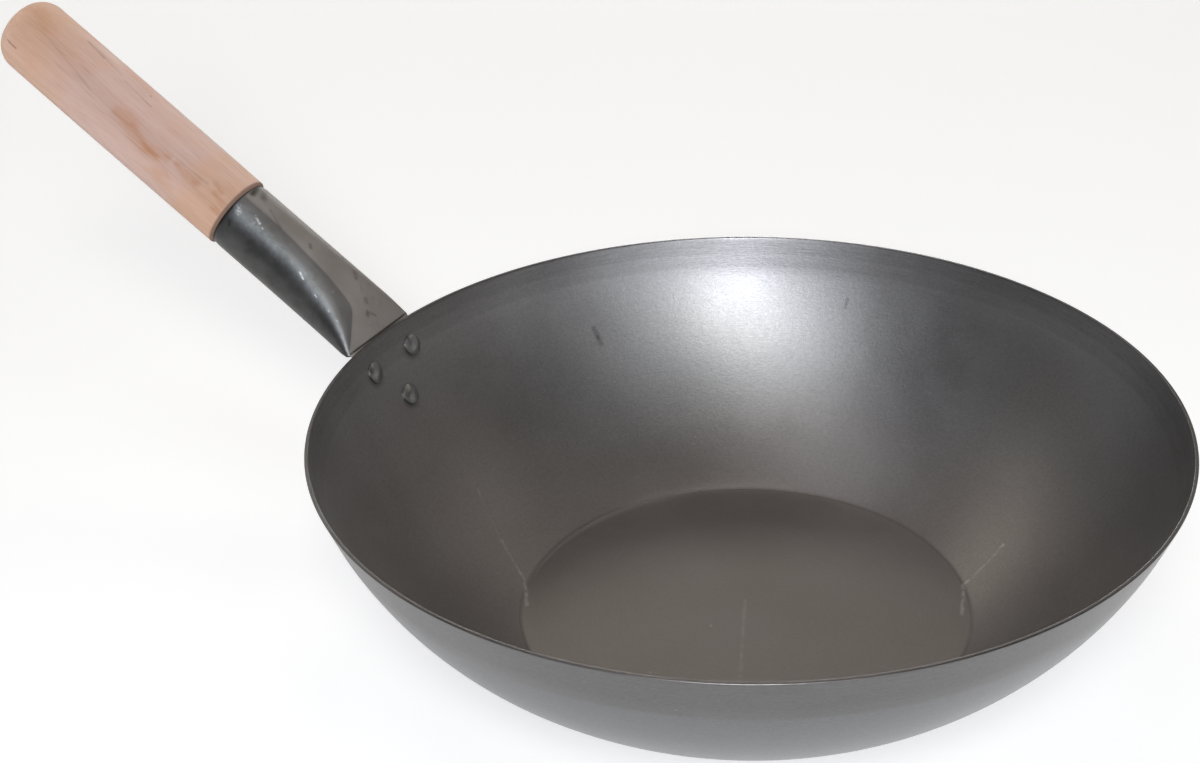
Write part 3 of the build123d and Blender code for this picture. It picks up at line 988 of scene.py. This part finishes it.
# Painted shade on the shoulder where the wood meets the socket.
colour = blend_colours(tree, spread(tree, out_way, *shoulder_shade_span, 0.7, 0), colour, shoulder_shade_colour)
shader = node(
    tree,
    "BsdfPrincipled",
    {
        "Base Color": colour,
        "Roughness": across_noise(tree, fibre, 0.6, 0.72),
        "Diffuse Roughness": 1.0,
        "Normal": relief(tree, fibre, 0.12, 0.3 * mm),
        "Specular IOR Level": 0.3,
    },
)
output(tree, shader.outputs[0])
grip.data.materials.append(grip_wood)
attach(grip, "root")
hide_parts("wood_grip")

# A round steel nail, driven through the socket into the tenon on the far side,
# keeps the grip in.
nail_inset = 10 * mm
nail_turn = math.radians(225)
nail_radius = 1.1 * mm
nail_length = 12 * mm
nail_point = 2.2 * mm
nail_tip_share = 0.35
nail_head_radius = 2.4 * mm
nail_head_height = 0.8 * mm
nail_seat_gap = 0.05 * mm
nail_segments = 48

nail_station = socket_length - nail_inset
nail_taper = (mouth_radius - tube_radius(nail_station)) / nail_inset
nail_slope = nail_taper * (1 + flat_share * math.pi / 2 * math.cos(nail_turn))
nail_side, nail_up = math.cos(nail_turn), math.sin(nail_turn)
nail_out = (handle_side * nail_side + handle_up * nail_up - handle_out * nail_slope).normalized()
nail_reach = tube_radius(nail_station)
nail_foot = on_handle(
    nail_side * nail_reach - half_flat(nail_station), nail_up * nail_reach, nail_station
)
nail_outline = [(0, -nail_length), (nail_radius * nail_tip_share, -nail_length)]
nail_outline += [(nail_radius, nail_point - nail_length), (nail_radius, nail_seat_gap)]
nail_outline += [
    (r, nail_seat_gap + h) for r, h in dome_outline(nail_head_radius, nail_head_height, head_edge_share)
]
nail = turned("grip_nail_driven", nail_outline, nail_segments)
nail_level = nail_out.cross(handle_out).normalized()
nail_axes = Matrix((nail_level, nail_out.cross(nail_level), nail_out)).transposed()
nail.data.transform(Matrix.Translation(nail_foot) @ nail_axes.to_4x4())
nail.data.materials.append(rivet_steel)
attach(nail, "root")
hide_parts("grip_nail")

# The stage is a wide matt floor in a pale grey that turns up to a low wall all round.
# Seen by the camera it gives off a little light of its own, less of it far off, so
# it shows nearly white and still carries the wok's shadow.
floor_radius = 2.2
floor_rise = 0.9
floor_level = -0.3 * mm
floor_segments = 128
floor_points, rise_points = 12, 24
floor_pair = ((0.62, 0.62, 0.62), (0.64, 0.64, 0.64))
far_floor_colour = (0.6, 0.6, 0.6)
far_from = (0.9, 1.7)
near_lift, far_lift = 0.53, 0.2

floor_outline = [(share * floor_radius, floor_level) for share in np.linspace(0, 1, floor_points)]
floor_outline += arc((floor_radius, floor_rise + floor_level), floor_rise, -90, 0, rise_points)[1:]
floor = turned("studio_floor", floor_outline, floor_segments)
floor_paint, tree = new_material("floor_paint")
place = node(tree, "TexCoord").outputs["Object"]
colour = blend_colours(tree, noise_of(tree, place, scale=3), *floor_pair)
from_middle = node(tree, "VectorMath", {0: place}, operation="LENGTH").outputs["Value"]
far = spread(tree, from_middle, *far_from)
colour = blend_colours(tree, far, colour, far_floor_colour)
matte = node(tree, "BsdfDiffuse", {"Color": colour})
rays = node(tree, "LightPath").outputs
seen = math_of(tree, "MAXIMUM", rays["Is Camera Ray"], rays["Is Glossy Ray"])
seen = math_of(tree, "MAXIMUM", seen, rays["Is Transmission Ray"])
lift_level = math_of(tree, "MULTIPLY", seen, across_mask(tree, far, near_lift, far_lift))
lift = node(tree, "Emission", {"Color": (1, 1, 1, 1), "Strength": lift_level})
both = node(tree, "AddShader", {0: matte.outputs[0], 1: lift.outputs[0]})
output(tree, both.outputs[0])
floor.data.materials.append(floor_paint)

# The light is a pair of soft lamps near the camera, where the photograph's flash
# was, with dimmer ones on the right, high on the left and in an arc behind the wok,
# in a room of faint warm grey.
room_colour = (1.0, 0.94, 0.88, 1)
room_level = 0.02
lamp_aim = Vector((0, 0, bowl_height / 2))

world = bpy.data.worlds.new("room")
world.use_nodes = True
world.node_tree.nodes["Background"].inputs["Color"].default_value = room_colour
world.node_tree.nodes["Background"].inputs["Strength"].default_value = room_level
scene.world = world


def soft_lamp(name, azimuth, elevation, distance, width, height, level, colour):
    """Lamp panel aimed at the bowl. Its level is what it adds to a white card that faces it."""
    a, e = math.radians(azimuth), math.radians(elevation)
    back = Vector((math.sin(a) * math.cos(e), -math.cos(a) * math.cos(e), math.sin(e)))
    light = bpy.data.lights.new(name, "AREA")
    light.shape = "RECTANGLE"
    light.size = width
    light.size_y = height
    light.energy = level * math.pi * math.pi * distance**2
    light.color = colour
    lamp = bpy.data.objects.new(name, light)
    scene.collection.objects.link(lamp)
    lamp.visible_camera = False
    lamp.rotation_mode = "QUATERNION"
    lamp.rotation_quaternion = (-back).to_track_quat("-Z", "Y")
    lamp.location = lamp_aim + back * distance


# Each lamp's azimuth, elevation, distance, width, height, level and colour.
arc_colour = (1.08, 1.0, 0.9)
for name, *settings in (
    ("lamp_by_camera", 25.8, 31, 2.0, 0.35, 0.35, 0.52, (0.99, 1.0, 1.12)),
    ("lamp_over_camera", 25.8, 43, 2.0, 0.5, 0.5, 0.38, (0.98, 1.0, 0.91)),
    ("lamp_on_the_right", 70, 50, 2.4, 0.9, 0.9, 0.05, (0.97, 1.0, 1.04)),
    ("lamp_high_left", 295, 70, 2.4, 0.8, 0.8, 0.05, (0.97, 1.0, 1.1)),
    ("lamp_high_behind", 205, 62, 2.4, 0.9, 0.7, 0.057, (1.15, 1.0, 0.87)),
    ("lamp_behind_far_left", 262, 34, 2.4, 1.0, 0.36, 0.033, arc_colour),
    ("lamp_behind_left", 235, 34, 2.4, 1.0, 0.36, 0.047, arc_colour),
    ("lamp_behind", 205, 34, 2.4, 1.0, 0.36, 0.022, arc_colour),
    ("lamp_behind_right", 175, 34, 2.4, 1.0, 0.36, 0.022, arc_colour),
    ("lamp_behind_far_right", 148, 34, 2.4, 1.0, 0.36, 0.026, arc_colour),
    ("lamp_low_behind", 205, 10, 2.3, 0.6, 0.4, 0.14, (1.0, 1.0, 1.0)),
):
    soft_lamp(name, *settings)

scene.view_settings.view_transform = "Standard"
